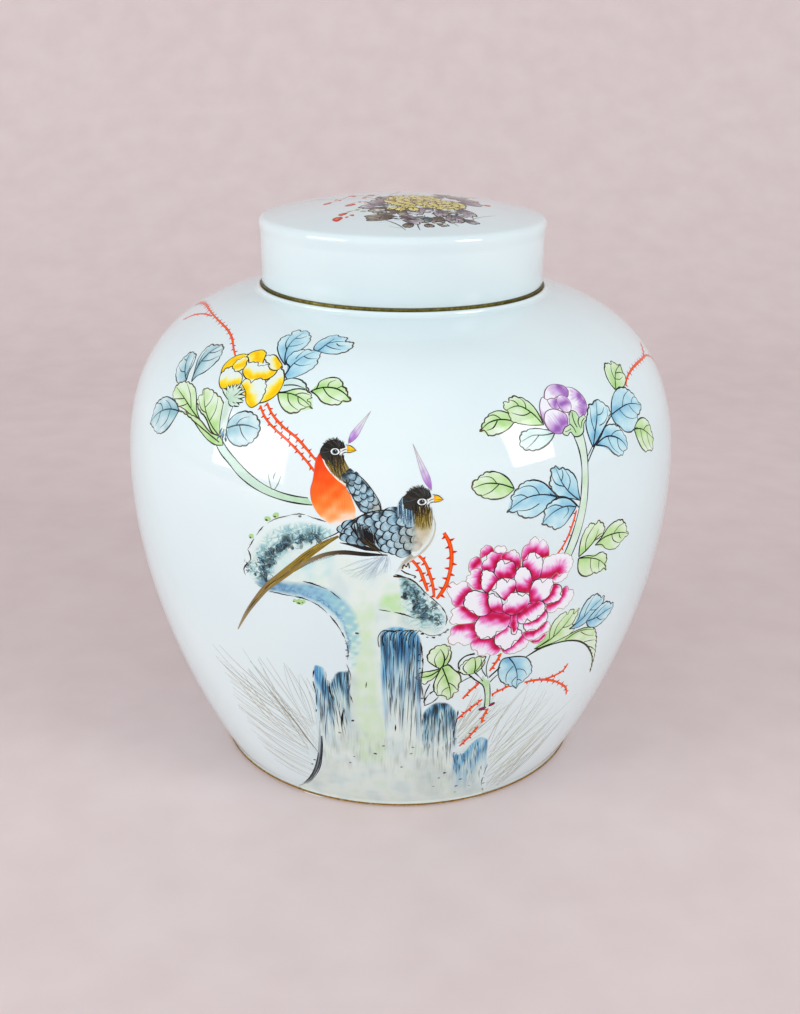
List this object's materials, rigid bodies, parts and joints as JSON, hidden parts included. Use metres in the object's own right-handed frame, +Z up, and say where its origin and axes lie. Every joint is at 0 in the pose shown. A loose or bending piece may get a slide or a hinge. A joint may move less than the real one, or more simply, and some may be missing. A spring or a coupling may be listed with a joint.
{
  "type": "ginger jar",
  "caption": "Round porcelain ginger jar with a full shoulder, a short neck and a domed cap lid that lifts off and turns, painted with birds, rocks and flowers.",
  "frame": {"origin": "centre of the face the foot ring stands on", "axes": "+Z up along the jar's axis of revolution; the painted birds and rock face -Y"},
  "size_m": [0.202, 0.202, 0.2082],
  "materials": {
    "glaze": "glossy pale bluish-white porcelain glaze",
    "biscuit": "matte unglazed porcelain biscuit",
    "gilt": "thin burnished gilt line with a dark edge"
  },
  "bodies": {
    "jar": {"lower_body": "glaze", "upper_body": "glaze", "jar_floor": "glaze", "foot_ring": "biscuit", "neck_collar": "glaze", "neck_lip": "biscuit", "foot_gilt_line": "gilt", "seat_gilt_ring": "gilt"},
    "lid_band": {"lid_gilt_band": "gilt"},
    "lid": {"lid_crown": "glaze", "lid_skirt": "glaze", "lid_rim": "biscuit"}
  },
  "joints": [
    {"name": "lid_lift", "type": "slide", "parent": "jar", "child": "lid_band", "axis": [0, 0, 1], "range_m": [0, 0.12]},
    {"name": "lid_turn", "type": "hinge", "parent": "lid_band", "child": "lid", "pos_m": [0, 0, 0.1776], "axis": [0, 0, 1], "continuous": true}
  ]
}
